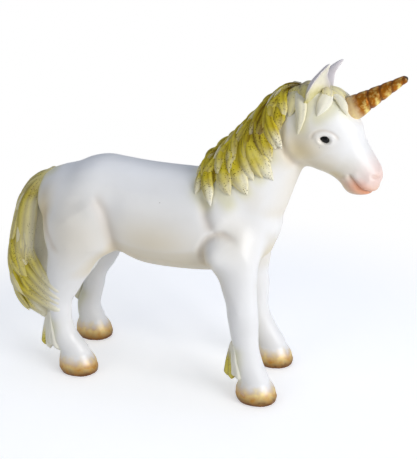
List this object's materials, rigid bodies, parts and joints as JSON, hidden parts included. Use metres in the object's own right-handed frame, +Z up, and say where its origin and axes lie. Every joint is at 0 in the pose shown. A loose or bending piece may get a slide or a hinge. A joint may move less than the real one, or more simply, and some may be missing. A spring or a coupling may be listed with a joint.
{
  "type": "rubber toy unicorn",
  "caption": "Standing toy unicorn of soft painted rubber with a twisted horn, yellow mane and tail and gold hooves, for pretend play.",
  "frame": {"origin": "on the ground, under the middle of the figure's bounding box", "axes": "+X towards the nose, +Y towards the figure's left, +Z up"},
  "size_m": [0.1814, 0.0514, 0.1557],
  "materials": {
    "white_rubber": "satin white paint on soft rubber",
    "yellow_hair": "satin yellow paint with glitter on soft rubber",
    "gold_paint": "metallic gold paint on soft rubber",
    "black_eye": "gloss black paint on soft rubber",
    "fibre_stuffing": "loose white fibre"
  },
  "bodies": {
    "root": {"barrel": "white_rubber", "belly_plug": "white_rubber", "neck": "white_rubber", "head": "white_rubber", "ear_left": "white_rubber", "ear_right": "white_rubber", "eye_left": "black_eye", "eye_right": "black_eye", "horn": "gold_paint", "forelock": "yellow_hair", "mane_crest": "yellow_hair", "mane_left": "yellow_hair", "mane_right": "yellow_hair", "tail": "yellow_hair", "tail_upper_locks": "yellow_hair", "tail_lower_locks": "yellow_hair", "leg_fore_left": "white_rubber", "leg_fore_right": "white_rubber", "leg_hind_left": "white_rubber", "leg_hind_right": "white_rubber", "hoof_fore_left": "gold_paint", "hoof_fore_right": "gold_paint", "hoof_hind_left": "gold_paint", "hoof_hind_right": "gold_paint", "feather_fore_left": "yellow_hair", "feather_fore_right": "yellow_hair", "feather_hind_left": "yellow_hair", "feather_hind_right": "yellow_hair", "stuffing": "fibre_stuffing"}
  },
  "joints": []
}
